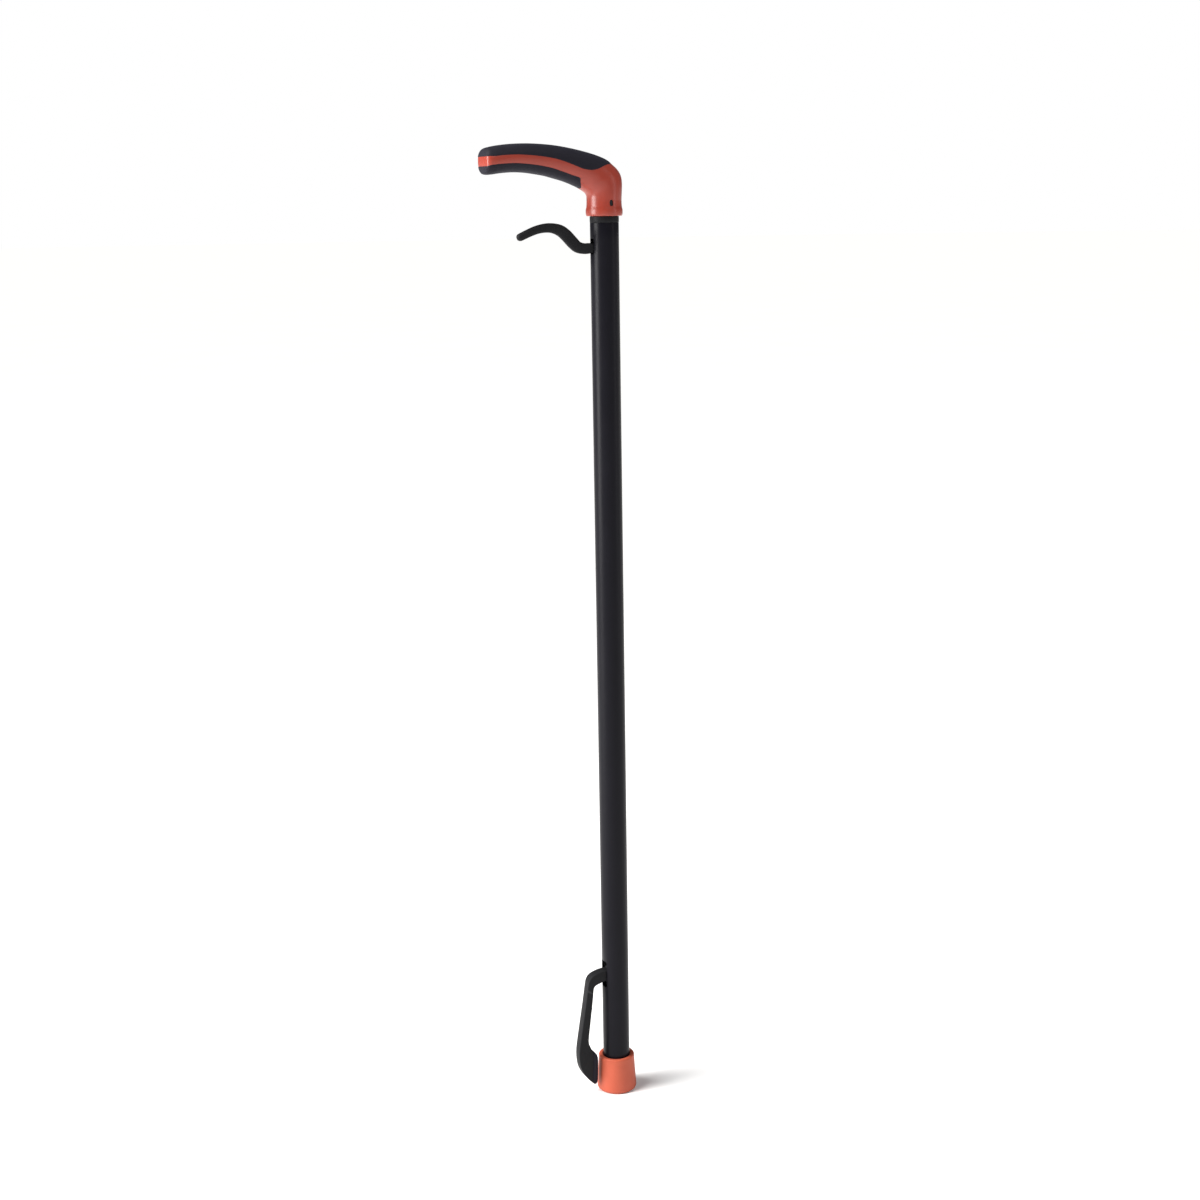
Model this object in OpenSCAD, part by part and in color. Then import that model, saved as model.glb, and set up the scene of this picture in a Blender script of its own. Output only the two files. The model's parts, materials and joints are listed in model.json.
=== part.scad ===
// Reaching stick with a walking-stick handle.
// A finger trigger under the handle drives a push rod down the tube,
// and the rod swings a hooked jaw away from the ferrule. A spring closes it.
// Units are millimetres. Z is up the tube, the grip points along -X,
// and Z = 0 is the floor under the ferrule.

/* [Show] */
// which piece to draw

/* [Tube] */
// outside diameter of the tube
tube_od = 25; // [22:0.5:30]
// wall thickness of the tube
tube_wall = 1.5; // [1:0.1:2.5]
// height of the tube's top end above the floor
tube_top = 811.5; // [600:0.5:900]
// height of the tube's bottom end above the floor
tube_bottom = 6.5; // [5:0.5:12]

/* [Handle] */
// length of the grip from the tube's axis to its tip
grip_reach = 112.4; // [95:0.2:130]
// width of the grip across the hand
grip_width = 29; // [24:0.5:36]
// outside radius of the collar
collar_r = 15.25; // [14.5:0.05:18]
// thickness of the soft pads
pad_t = 2.2; // [1.5:0.1:3]

/* [Trigger] */
// width of the trigger across the finger
trigger_w = 6; // [5:0.5:9]
// swing of the trigger in degrees
trigger_swing = 22; // [15:1:24]
// distance from the trigger's pivot to its link pin
trigger_arm = 9.5; // [8:0.1:9.5]

/* [Jaw] */
// width of the jaw
jaw_w = 9; // [8:0.5:12]
// distance from the jaw's pivot to its link pin
jaw_arm = 7; // [6:0.1:7]

/* [Rod and spring] */
// radius of the push rod
rod_r = 2; // [1.5:0.1:2.2]
// running clearance of the rod in its guides
rod_gap = 0.06; // [0.02:0.01:0.1]
// radius of every steel pin
pin_r = 1.5; // [1.2:0.1:1.6]
// running clearance of the levers on their pins
pin_gap = 0.05; // [0.02:0.01:0.1]
// length of the return spring at rest
spring_len = 40; // [30:1:60]
// turns of the return spring
spring_turns = 9; // [6:1:12]

/* [Ferrule] */
// radius of the ferrule at the floor
ferrule_r = 18.6; // [16:0.1:22]
// height of the ferrule
ferrule_h = 34.6; // [28:0.2:40]

/* [Hidden] */
$fn = 64;
tube_r = tube_od / 2;
tube_ir = tube_r - tube_wall;
fit_r = tube_ir - 0.03;            // mouldings that slide into the tube
ring_h = 5.5;                      // visible ring between tube and collar
collar_z = tube_top + ring_h;      // the collar's lower edge
k_reach = grip_reach / 112.4;
k_width = grip_width / 29;
rod_x = 3;                         // the rod runs a little behind the axis
trig_px = rod_x - trigger_arm;     // trigger pivot
trig_pz = collar_z - 27;
jaw_px = rod_x - jaw_arm;          // jaw pivot
jaw_pz = 119;
half_t = trigger_swing / 2;
travel = 2 * trigger_arm * sin(half_t);
half_j = asin(travel / 2 / jaw_arm);
link_tx = trig_px + trigger_arm * cos(half_t);
link_tz = trig_pz + travel / 2;    // trigger's link pin at rest
link_jx = jaw_px + jaw_arm * cos(half_j);
link_jz = jaw_pz + travel / 2;     // jaw's link pin at rest
eye_tx = trig_px + trigger_arm * (1 + cos(half_t)) / 2;
eye_jx = jaw_px + jaw_arm * (1 + cos(half_j)) / 2;
spring_z = 701;                    // top of the spring's fixed seat
hub_t = 4.2;                       // half width of the trigger's hub
hub_j = 4.9;                       // half width of the jaw's hub

orange = [0.78, 0.22, 0.16];
orange_foot = [0.85, 0.36, 0.22];
rubber = [0.05, 0.05, 0.06];
nylon = [0.06, 0.06, 0.07];
tube_col = [0.07, 0.07, 0.09];
steel = [0.62, 0.63, 0.65];
white_pom = [0.85, 0.85, 0.83];

// ---- small helpers ---------------------------------------------------
// a smooth curve through the points p, at parameter t from 0 to len(p) - 1
function knot(p, i) = p[max(0, min(len(p) - 1, i))];
function smooth(p, t) = let(i = min(len(p) - 2, floor(t)), u = t - i,
    a = knot(p, i - 1), b = knot(p, i), c = knot(p, i + 1), d = knot(p, i + 2))
  0.5 * (2 * b + (c - a) * u + (2 * a - 5 * b + 4 * c - d) * u * u
    + (3 * b - a - 3 * c + d) * u * u * u);
function spow(v, e) = sign(v) * pow(abs(v), e);
function unit(v) = v / norm(v);

// cylinder across the tube, from y0 to y1
module bar_y(x, z, r, y0, y1)
  translate([x, y0, z]) rotate([-90, 0, 0]) cylinder(r = r, h = y1 - y0);

// block in X and Z, centred across Y
module slab(x0, x1, z0, z1, w)
  translate([x0, -w / 2, z0]) cube([x1 - x0, w, z1 - z0]);

// flat plate drawn in X and Z, centred across Y
module plate(w) rotate([90, 0, 0]) linear_extrude(height = w, center = true)
  children();

// round-ended slot along X, drawn in X and Z
module slot_xz(x, z, r, extra) {
  for (s = [-1, 1]) translate([x + s * extra / 2, z]) circle(r = r);
  translate([x - extra / 2, z - r]) square([extra, 2 * r]);
}

// ---- the grip's skin -------------------------------------------------
// Each station gives the outer point and the inner point of one section,
// as X and height above the collar's lower edge, then half the width and
// how square the section is. They run from the collar round to the tip.
ST = [
  [15.1, 13, -15.1, 13, 15.1, 2.0], [15.5, 20, -15.3, 16.5, 15.2, 2.0],
  [15.8, 27.8, -16.6, 19, 15.2, 2.0], [14.8, 34, -19.6, 21.2, 15.1, 2.05],
  [11.6, 39.2, -22.6, 22.9, 15.0, 2.1], [7.2, 43.4, -25.6, 24.4, 14.9, 2.15],
  [1, 47.7, -29, 25.8, 14.7, 2.2], [-9, 51.5, -33.4, 27.6, 14.5, 2.25],
  [-21, 54.7, -39.4, 29.6, 14.3, 2.3], [-34, 57.4, -46.8, 31.6, 14.2, 2.3],
  [-47, 59.4, -55, 33.7, 14.2, 2.3], [-60, 60.5, -64, 35.2, 14.3, 2.3],
  [-73, 60.9, -74, 36.5, 14.5, 2.3], [-86, 60.5, -85, 36.9, 14.6, 2.3],
  [-98, 59.3, -96, 36.2, 14.6, 2.3], [-104.8, 58.1, -103.4, 35.25, 14.35, 2.3],
  [-109, 57, -108.3, 35, 13.4, 2.35], [-111.4, 55, -110.9, 35.9, 11.2, 2.4],
  [-112.4, 51.3, -112.2, 39, 7.8, 2.4]];
N_ST = len(ST);
N_T = 9;                           // points over each pad zone
N_S = 6;                           // points down each stripe
pad_from = 5.3;                    // station where the top pad's tongue starts
low_from = 4;                      // station where the lower pad starts
// angle from the outer pole of each pad's edge, by station
TOP_EDGE = [[5.3, 12], [5.4, 36], [5.6, 46], [5.8, 60], [6, 78], [6.3, 88], [6.6, 91.5],
  [7, 94], [7.5, 95], [8, 93.5], [9, 90], [10, 87.5], [11, 85.5], [12, 84], [13, 81.5],
  [14, 79], [15, 77], [16, 73.5], [17, 68], [17.5, 60], [18, 48]];
LOW_EDGE = [[4.03, 174], [4.1, 169], [4.4, 164], [5, 156], [5.6, 147], [6, 141], [6.4, 133],
  [6.7, 126], [6.95, 123.5], [7.5, 123.5], [8, 123], [9, 119.5], [10, 116], [11, 113],
  [12, 111.5], [13, 108], [14, 105], [15, 103], [16, 102.5], [17, 105], [17.5, 109], [18, 113]];

function station(t) = smooth(ST, t);
// point on a section: a = 0 is the outer pole, 180 the inner pole
function skin(t, a, inset) = let(s = station(t),
    o = [s[0] * (s[0] < 0 ? k_reach : 1), s[1]],
    i = [s[2] * (s[2] < 0 ? k_reach : 1), s[3]],
    c = (o + i) / 2, h = norm(o - i) / 2, u = unit(o - i),
    w = s[4] * (t > 3 ? k_width : 1), e = 2 / s[5],
    ch = (h - inset) * spow(cos(a), e), cw = (w - inset) * spow(sin(a), e))
  [c[0] + u[0] * ch, cw, collar_z + c[1] + u[1] * ch];
function lim_top(t) = t <= pad_from ? 50 : lookup(t, TOP_EDGE);
function lim_low(t) = t <= low_from ? 130 : lookup(t, LOW_EDGE);
function depth_top(t) = t <= pad_from ? 0 : pad_t;
function depth_low(t) = t <= low_from ? 0 : pad_t;

// stations used by every skin, with a fine step at each pad's start
TT = concat([for (k = [0:6]) k * 0.6], [low_from - 0.04, low_from + 0.04, 4.15, 4.4, 4.7, 5,
  pad_from - 0.04, pad_from + 0.04, 5.45, 5.6, 5.8, 6, 6.25, 6.5, 6.75, 7],
  [for (k = [1:22]) 7 + k * (N_ST - 8) / 22]);

// one closed ring of the hard core, with a step down under each pad
function ring_core(t) = let(a = lim_top(t), b = lim_low(t), d = depth_top(t), e = depth_low(t))
  concat([for (k = [0:N_T]) skin(t, -a + 2 * a * k / N_T, d)],
    [for (k = [0:N_S]) skin(t, a + 1 + (b - a - 2) * k / N_S, 0)],
    [for (k = [0:N_T]) skin(t, b + 2 * (180 - b) * k / N_T, e)],
    [for (k = [0:N_S]) skin(t, 361 - b + (b - a - 2) * k / N_S, 0)]);
// one closed ring of a pad: its outside, then back along its underside
function ring_pad(t, a0, a1) = concat(
    [for (k = [0:N_T]) skin(t, a0 + (a1 - a0) * k / N_T, 0)],
    [for (k = [0:N_T]) skin(t, a1 - (a1 - a0) * k / N_T, pad_t - 0.08)]);

// skin over a list of rings, closed flat at both ends
module loft(rings) {
  n = len(rings[0]);
  m = len(rings);
  pts = [for (r = rings) for (p = r) p];
  polyhedron(points = pts, convexity = 8, faces = concat(
    [[for (k = [0:n - 1]) k]],
    [for (j = [0:m - 2]) for (k = [0:n - 1]) each [
      [j * n + k, (j + 1) * n + k, (j + 1) * n + (k + 1) % n],
      [j * n + k, (j + 1) * n + (k + 1) % n, j * n + (k + 1) % n]]],
    [[for (k = [n - 1:-1:0]) (m - 1) * n + k]]));
}

// ---- handle ----------------------------------------------------------
module handle_core() color(orange) difference() {
  union() {
    loft([for (t = TT) ring_core(t)]);
    translate([0, 0, collar_z]) rotate_extrude() polygon([[0, 0], [collar_r, 0],
      [collar_r + 0.5, 0.7], [collar_r + 0.7, 2.2], [collar_r + 0.7, 5.2],
      [collar_r + 0.2, 7], [collar_r, 8], [collar_r, 14], [0, 14]]);
  }
  translate([0, 0, collar_z - 1]) cylinder(r = 12.25, h = 29);
  // windows that the insert's catches spring into
  for (s = [-1, 1]) translate([0, s * 14.5, collar_z + 10.8]) rotate([90, 0, 0])
    linear_extrude(height = 6, center = true) rotate(90) slot_2d(1.7, 2);
}
// round-ended slot along X in the plane, centred
module slot_2d(r, extra) {
  for (s = [-1, 1]) translate([s * extra / 2, 0]) circle(r = r);
  translate([-extra / 2, -r * 0.999]) square([extra, 1.998 * r]);
}
module grip_top_pad() color(rubber)
  loft([for (t = TT) if (t > pad_from) ring_pad(t, -lim_top(t), lim_top(t))]);
module grip_bottom_pad() color(rubber)
  loft([for (t = TT) if (t > low_from) ring_pad(t, lim_low(t), 360 - lim_low(t))]);

// Insert between the collar and the tube. Its flange shows as a black ring.
// The lower spigot is slotted, and its two cheeks carry the trigger's pin.
module top_insert() color(nylon) difference() {
  union() {
    translate([0, 0, collar_z - 1]) cylinder(r = 12.2, h = 28.5);
    translate([0, 0, tube_top]) rotate_extrude() polygon([[0, 0], [tube_r, 0],
      [tube_r + 0.15, 0.3], [tube_r + 0.15, ring_h], [0, ring_h]]);
    translate([0, 0, trig_pz - 18]) cylinder(r = fit_r, h = tube_top - trig_pz + 18.5);
    for (s = [-1, 1]) translate([0, s * 12.8, collar_z + 10.8]) rotate([90, 0, 0])
      linear_extrude(height = 3, center = true) rotate(90) slot_2d(1.55, 2);
  }
  translate([0, 0, collar_z + 3]) cylinder(r = 8.5, h = 40);
  slab(-20, 20, trig_pz - 30, trig_pz + 15, 2 * hub_t + 0.6);
  bar_y(trig_px, trig_pz, pin_r + 0.02, -20, 20);
}

// ---- tube ------------------------------------------------------------
module main_tube() color(tube_col) difference() {
  translate([0, 0, tube_bottom]) cylinder(r = tube_r, h = tube_top - tube_bottom);
  translate([0, 0, tube_bottom - 1]) cylinder(r = tube_ir, h = tube_top);
  slab(-20, -4, trig_pz - 5.3, trig_pz + 8.2, trigger_w + 1);
  slab(-20, -4, jaw_pz - 13.5, jaw_pz + 12.2, jaw_w + 1.6);
}
module guide(z, h) difference() {
  translate([0, 0, z]) rotate_extrude() polygon([[0, 0], [fit_r - 0.4, 0], [fit_r, 0.6],
    [fit_r, 2.5], [fit_r - 1.2, 3.2], [fit_r - 1.2, h - 3.2], [fit_r, h - 2.5],
    [fit_r, h - 0.6], [fit_r - 0.4, h], [0, h]]);
  translate([rod_x, 0, z - 1]) cylinder(r = rod_r + rod_gap, h = h + 2);
}
module rod_guide_upper() color(white_pom) guide(748, 10);
module rod_guide_spring() color(white_pom) guide(spring_z - 11, 10);
module rod_guide_mid() color(white_pom) guide(420, 12);
module spring_seat() color(steel) difference() {
  translate([rod_x, 0, spring_z - 1]) cylinder(r = 6, h = 1);
  translate([rod_x, 0, spring_z - 2]) cylinder(r = rod_r + 0.3, h = 3);
}
module return_spring() color(steel) translate([rod_x, 0, spring_z]) {
  for (z = [0.6, spring_len - 0.6]) translate([0, 0, z])
    rotate_extrude() translate([4.4, 0]) circle(r = 0.6, $fn = 16);
  translate([0, 0, 0.6]) linear_extrude(height = spring_len - 1.2,
    twist = -360 * spring_turns, slices = 16 * spring_turns, convexity = 10, $fn = 8)
    translate([4.4, 0]) circle(r = 0.62, $fn = 8);
}

// hub with a short arm, raised by a degrees, that carries a link pin
module lever(x, z, r, arm, a, w) plate(w) translate([x, z]) {
  circle(r = r);
  rotate(a) {
    translate([-1, -2.6]) square([arm + 1, 5.2]);
    translate([arm, 0]) circle(r = 2.9);
  }
}

// ---- trigger ---------------------------------------------------------
// tip first: X, height from the collar's edge, half thickness
TR = [[-81.8, -17.8, 2.2], [-80.3, -17.15, 3.1], [-71, -13.2, 3.35], [-63.5, -10.6, 3.55],
  [-56, -9.3, 3.85], [-49, -9.5, 4.2], [-42, -11.6, 4.85], [-36.5, -15.6, 5.2],
  [-30.8, -21.4, 5.25], [-26, -25.6, 4.9], [-20, -27.2, 4.6], [-14, -27, 4.4],
  [-8, -27, 3.0]];
function ring_trig(t) = let(c = smooth(TR, t), f = smooth(TR, t + 0.05), b = smooth(TR, t - 0.05),
    d = unit([f[0] - b[0], f[1] - b[1]]), n = [-d[1], d[0]],
    w = trigger_w / 2 * (t < 0.3 ? 0.75 : 1))
  [for (k = [0:15]) let(a = 22.5 * k + 11.25, p = c[2] * spow(cos(a), 0.55))
    [c[0] + n[0] * p, -w * spow(sin(a), 0.55), collar_z + c[1] + n[1] * p]];
module trigger() color(nylon) difference() {
  union() {
    loft([for (k = [0:36]) ring_trig(k * 0.332)]);
    lever(trig_px, trig_pz, 3.2, trigger_arm, half_t, 2 * hub_t);
  }
  bar_y(trig_px, trig_pz, pin_r + pin_gap, -9, 9);
  bar_y(link_tx, link_tz, pin_r + 0.02, -9, 9);
  // slit for the rod's flat end, through the whole swing
  for (a = [0, half_t, trigger_swing]) translate([trig_px, 0, trig_pz])
    rotate([0, -a, 0]) slab(4.4, 20, -18, 18, 3.5);
}
module trigger_pin() color(steel) bar_y(trig_px, trig_pz, pin_r, -7.2, 7.2);
module trigger_link_pin() color(steel)
  bar_y(link_tx, link_tz, pin_r, -hub_t + 0.1, hub_t - 0.1);

// ---- rod -------------------------------------------------------------
rod_lo = link_jz + 12;             // rod's lower end, inside its lower socket
rod_hi = link_tz - 13;
collar_pz = spring_z + spring_len; // spring collar's underside
module push_rod() color(steel) difference() {
  translate([rod_x, 0, rod_lo]) cylinder(r = rod_r, h = rod_hi - rod_lo);
  translate([0, 0, collar_pz + 3]) difference() {
    translate([rod_x, 0, 0]) cylinder(r = rod_r + 1, h = 1);
    translate([rod_x, 0, -1]) cylinder(r = rod_r - 0.4, h = 3);
  }
}
// flat end with a slotted eye and a round socket. s = 1 has its eye on top
module rod_end(ex, ez, s) difference() {
  union() {
    plate(3) {
      translate([ex, ez]) circle(r = 2.6);
      translate([ex - 2.55, min(ez, ez - s * 10)]) square([5.1, 10]);
    }
    translate([rod_x, 0, s > 0 ? ez - 19 : ez + 9]) cylinder(r = 3.2, h = 10);
  }
  plate(8) slot_xz(ex, ez, pin_r + 0.1, 0.4);
  translate([rod_x, 0, s > 0 ? ez - 20 : ez + 12 - 0.01])
    cylinder(r = rod_r + 0.02, h = s > 0 ? 7.01 : 8);
}
module rod_end_top() color(steel) rod_end(eye_tx, link_tz, 1);
module rod_end_bottom() color(steel) rod_end(eye_jx, link_jz, -1);
module nut(z) difference() {
  translate([rod_x, 0, z]) cylinder(r = 4.04, h = 3, $fn = 6);
  translate([rod_x, 0, z - 1]) cylinder(r = rod_r + 0.02, h = 5);
}
module lock_nut_top() color(steel) nut(link_tz - 22);
module lock_nut_bottom() color(steel) nut(link_jz + 19);
module spring_collar() color(steel) difference() {
  translate([rod_x, 0, collar_pz]) cylinder(r = 5.6, h = 3);
  translate([rod_x, 0, collar_pz - 1]) cylinder(r = rod_r + 0.02, h = 5);
}
module collar_clip() color(steel) difference() {
  translate([rod_x, 0, collar_pz + 3]) cylinder(r = 3.8, h = 0.98);
  translate([rod_x, 0, collar_pz + 2]) cylinder(r = rod_r - 0.38, h = 3);
  slab(rod_x - 5, rod_x, collar_pz + 2, collar_pz + 5, 1.6);
}

// ---- jaw -------------------------------------------------------------
// outer point and inner point of each section, as X and height below the
// collar's edge, from inside the tube round to the face by the ferrule
JW = [[-8, -694.6, -8, -704.8], [-14, -694.7, -13.5, -705.3], [-19, -695.5, -17, -706.2],
  [-23.7, -697, -20, -707], [-27, -699.2, -22.6, -708.2], [-29.1, -702.6, -24, -710],
  [-30.2, -707.5, -24.6, -713], [-31.2, -714, -25.1, -718], [-32.9, -725, -26.3, -728.5],
  [-34.8, -736.5, -27.6, -738.5], [-36.8, -748.5, -29, -749.5], [-38.7, -760, -30.2, -759],
  [-40.1, -769.5, -30.2, -764.8], [-40.4, -777, -28.4, -769.8], [-39.7, -784.5, -26.1, -775.4],
  [-38.1, -790.6, -26.2, -781.5], [-35.2, -796.2, -26.5, -788.5], [-31.4, -801.5, -27, -796],
  [-26.9, -806.2, -27.5, -803.6]];
function corner(t, e, w) = let(s = smooth(JW, t), o = [s[0], s[1]], i = [s[2], s[3]],
    p = (o + i) / 2 + (o - i) / 2 * e) [p[0], w, collar_z + p[1]];
function ring_box(t) = let(s = smooth(JW, t), h = norm([s[0] - s[2], s[1] - s[3]]) / 2,
    w = jaw_w / 2, b = 0.8, m = 1 - b / h)
  [corner(t, 1, w - b), corner(t, m, w), corner(t, -m, w), corner(t, -1, w - b),
   corner(t, -1, b - w), corner(t, -m, -w), corner(t, m, -w), corner(t, 1, b - w)];
module jaw() color(nylon) difference() {
  union() {
    loft([for (k = [0:54]) ring_box(k / 3)]);
    lever(jaw_px, jaw_pz, 5.6, jaw_arm, half_j, 2 * hub_j);
  }
  bar_y(jaw_px, jaw_pz, pin_r + pin_gap, -9, 9);
  bar_y(link_jx, link_jz, pin_r + 0.02, -9, 9);
  for (a = [0, half_j, 2 * half_j]) translate([jaw_px, 0, jaw_pz])
    rotate([0, -a, 0]) slab(4.1, 20, -18, 18, 3.5);
}
// Carrier fixed in the tube: two cheeks hold the jaw's pin, and the disc
// above them guides the rod's lower end.
module jaw_carrier() color(nylon) difference() {
  translate([0, 0, jaw_pz - 25]) cylinder(r = fit_r, h = 62);
  slab(-20, 20, jaw_pz - 19, jaw_pz + 27, 2 * hub_j + 0.6);
  bar_y(jaw_px, jaw_pz, pin_r + 0.02, -20, 20);
  translate([rod_x, 0, jaw_pz]) cylinder(r = rod_r + rod_gap, h = 60);
}
// soft facing moulded onto the jaw's closing face, backed onto its sections
module jaw_pad() color(rubber) plate(jaw_w - 1) polygon([for (p = concat([[-25.2, -775.3],
  [-23.4, -776.4], [-22, -778.4], [-21.2, -781.2], [-20.9, -785], [-21.05, -792],
  [-21.3, -799], [-21.6, -804], [-22.1, -806.4], [-23.1, -807.8], [-24.4, -808],
  [-25.7, -807.4], [-26.84, -806.2]], [for (k = [54:-1:42]) jaw_inner(k / 3) + [pad_gap, 0]]))
  [p[0], jaw_z(p[1])]]);
function jaw_inner(t) = let(s = smooth(JW, t)) [s[2], s[3]];
pad_gap = 0.06;                    // glue line between the jaw and its facing
function jaw_z(z) = collar_z + z;
module jaw_pin() color(steel) bar_y(jaw_px, jaw_pz, pin_r, -9.3, 9.3);
module jaw_link_pin() color(steel)
  bar_y(link_jx, link_jz, pin_r, -hub_j + 0.1, hub_j - 0.1);

// ---- foot ------------------------------------------------------------
module foot_plug() color(nylon) difference() {
  translate([0, 0, tube_bottom]) cylinder(r = fit_r, h = 18);
  translate([0, 0, tube_bottom + 3]) cylinder(r = 8, h = 18);
}
module ferrule_washer() color(steel)
  translate([0, 0, tube_bottom - 1.5]) cylinder(r = tube_r - 0.2, h = 1.5);
module ferrule() color(orange_foot) rotate_extrude() polygon([[0, 0], [6, 0], [6, 1.2],
  [8, 1.2], [8, 0], [11, 0], [11, 1.2], [13, 1.2], [13, 0], [ferrule_r - 2, 0],
  [ferrule_r - 0.9, 0.45], [ferrule_r - 0.25, 1.4], [ferrule_r, 2.8],
  [ferrule_r - 1.7, ferrule_h - 2.4], [ferrule_r - 1.9, ferrule_h - 1.2],
  [ferrule_r - 2.4, ferrule_h - 0.4], [ferrule_r - 3.2, ferrule_h],
  [tube_r + 0.8, ferrule_h], [tube_r + 0.03, ferrule_h - 0.8],
  [tube_r + 0.03, tube_bottom - 1.5], [0, tube_bottom - 1.5]]);

// ---- show ------------------------------------------------------------
handle_core();
grip_top_pad();
grip_bottom_pad();
top_insert();
main_tube();
trigger_pin();
trigger();
trigger_link_pin();
push_rod();
rod_end_top();
rod_end_bottom();
lock_nut_top();
lock_nut_bottom();
rod_guide_upper();
rod_guide_spring();
rod_guide_mid();
spring_seat();
return_spring();
spring_collar();
collar_clip();
jaw_carrier();
jaw_pin();
jaw();
jaw_pad();
jaw_link_pin();
foot_plug();
ferrule_washer();
ferrule();
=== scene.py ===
# %% [markdown]
# # A reaching stick with a walking-stick handle
#
# This lesson dresses a reaching stick: a dark tube with a curved grip on
# top, a finger trigger under the grip, a hooked jaw near the floor and an
# orange rubber foot. The mechanism is already there as a frame of plain
# solids that move on joints. Each cell below makes one visible piece in the
# same place as its plain solid, gives it a finish, and says which moving
# body it rides on.

# %% Load the frame
import json
import math
import bpy
import bmesh
import numpy as np
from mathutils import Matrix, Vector
from mathutils.kdtree import KDTree


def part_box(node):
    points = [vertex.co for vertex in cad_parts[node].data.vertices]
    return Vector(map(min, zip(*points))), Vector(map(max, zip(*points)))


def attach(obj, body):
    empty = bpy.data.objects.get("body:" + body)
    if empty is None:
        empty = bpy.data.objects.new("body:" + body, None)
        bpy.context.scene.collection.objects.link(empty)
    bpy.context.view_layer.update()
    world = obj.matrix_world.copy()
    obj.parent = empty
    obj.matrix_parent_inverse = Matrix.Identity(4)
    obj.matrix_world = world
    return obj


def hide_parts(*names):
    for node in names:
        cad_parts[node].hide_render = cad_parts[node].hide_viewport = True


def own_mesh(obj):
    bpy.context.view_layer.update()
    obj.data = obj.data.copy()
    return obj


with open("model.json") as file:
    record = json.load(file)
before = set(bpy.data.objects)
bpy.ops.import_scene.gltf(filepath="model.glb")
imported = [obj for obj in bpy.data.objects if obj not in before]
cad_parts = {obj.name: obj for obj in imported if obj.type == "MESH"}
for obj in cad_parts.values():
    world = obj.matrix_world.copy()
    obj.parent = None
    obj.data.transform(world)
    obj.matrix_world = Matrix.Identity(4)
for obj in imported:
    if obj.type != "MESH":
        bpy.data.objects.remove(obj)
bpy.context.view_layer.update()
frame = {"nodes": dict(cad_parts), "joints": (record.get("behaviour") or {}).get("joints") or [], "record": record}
MM = 0.001

# %% [markdown]
# ## Where the main features are
#
# Every piece hangs on a few heights. The lower edge of the orange collar is
# the level that the whole grip is measured from, the two pivots are where
# the levers turn, and the tube's ends tell where the rings sit. Reading
# them from the frame's own boxes keeps the looks and the mechanism
# together if the frame is made longer or shorter.

# %% Heights and pivots
tube_low, tube_high = (v.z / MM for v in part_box("main_tube"))
collar_z = tube_high + 5.5          # the black ring between tube and collar is 5.5 mm tall
tube_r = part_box("main_tube")[1].x / MM
hinges = {j["name"]: j for j in frame["joints"]}
trig_px, trig_pz = (hinges["trigger_pivot"]["pos_m"][i] / MM for i in (0, 2))
jaw_px, jaw_pz = (hinges["jaw_pivot"]["pos_m"][i] / MM for i in (0, 2))
print("collar edge %.1f mm, tube radius %.1f mm, trigger pivot %.1f, jaw pivot %.1f"
      % (collar_z, tube_r, trig_pz, jaw_pz))

# %% [markdown]
# ## Camera
#
# The stick is seen from in front and a little to the left of the side that
# the grip points to, from about the height of the hand, with a lens that is
# slightly longer than normal. The camera leans by less than a degree, as a
# hand-held or hastily set camera does. It is made first, so that every
# later step can be judged from the place where it will be seen.

# %% Camera
cam_data = bpy.data.cameras.new("studio_camera")
cam_data.sensor_width = 36
cam_data.lens = 53.43
cam_data.clip_end = 200
camera = bpy.data.objects.new("studio_camera", cam_data)
camera.location = (-0.664926, -1.425938, 0.819750)
camera.rotation_euler = [math.radians(a) for a in (77.7347, 0.8867, -24.8691)]
bpy.context.scene.collection.objects.link(camera)
bpy.context.scene.camera = camera
print("camera is %.2f m from the stick" % Vector(camera.location).xy.length)

# %% [markdown]
# ## Light
#
# A catalogue studio is bright from every side, so the shadows stay pale.
# This set has a high main light, a broad panel on the left that shapes the
# round parts and leaves a long soft highlight on them, a smaller panel high
# in front for the grip's stripe, and a weak one on the right that keeps the
# far side from going dead. The surround is white where it is seen and dim
# where it lights, because a surround that lights at full strength would
# wash every dark piece to grey. The main light is a sun lamp with a wide
# angle, because a sun lights the floor evenly all the way to its edge.

# %% Surround and lamps
scene = bpy.context.scene
scene.view_settings.view_transform = "Standard"
world = bpy.data.worlds.new("white_surround")
scene.world = world
world.use_nodes = True
wt = world.node_tree
wt.nodes.clear()
seen = wt.nodes.new("ShaderNodeBackground")
seen.inputs["Color"].default_value = (1, 1, 1, 1)
seen.inputs["Strength"].default_value = 1.0
lights_up = wt.nodes.new("ShaderNodeBackground")
lights_up.inputs["Color"].default_value = (0.96, 0.98, 1.0, 1)
lights_up.inputs["Strength"].default_value = 0.16
which = wt.nodes.new("ShaderNodeLightPath")
pick = wt.nodes.new("ShaderNodeMixShader")
out = wt.nodes.new("ShaderNodeOutputWorld")
wt.links.new(which.outputs["Is Camera Ray"], pick.inputs[0])
wt.links.new(lights_up.outputs[0], pick.inputs[1])
wt.links.new(seen.outputs[0], pick.inputs[2])
wt.links.new(pick.outputs[0], out.inputs[0])


def lamp_towards(name, kind, place, aim, strength, size, tint=(1, 1, 1)):
    """A lamp at place that looks at aim; size is metres for a panel, degrees for a sun."""
    data = bpy.data.lights.new(name, kind)
    data.energy = strength
    data.color = tint
    if kind == "SUN":
        data.angle = math.radians(size)
    else:
        data.shape = "RECTANGLE"
        data.size, data.size_y = size
    lamp = bpy.data.objects.new(name, data)
    lamp.location = place
    lamp.rotation_euler = (Vector(aim) - Vector(place)).to_track_quat("-Z", "Y").to_euler()
    scene.collection.objects.link(lamp)
    return lamp


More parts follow.
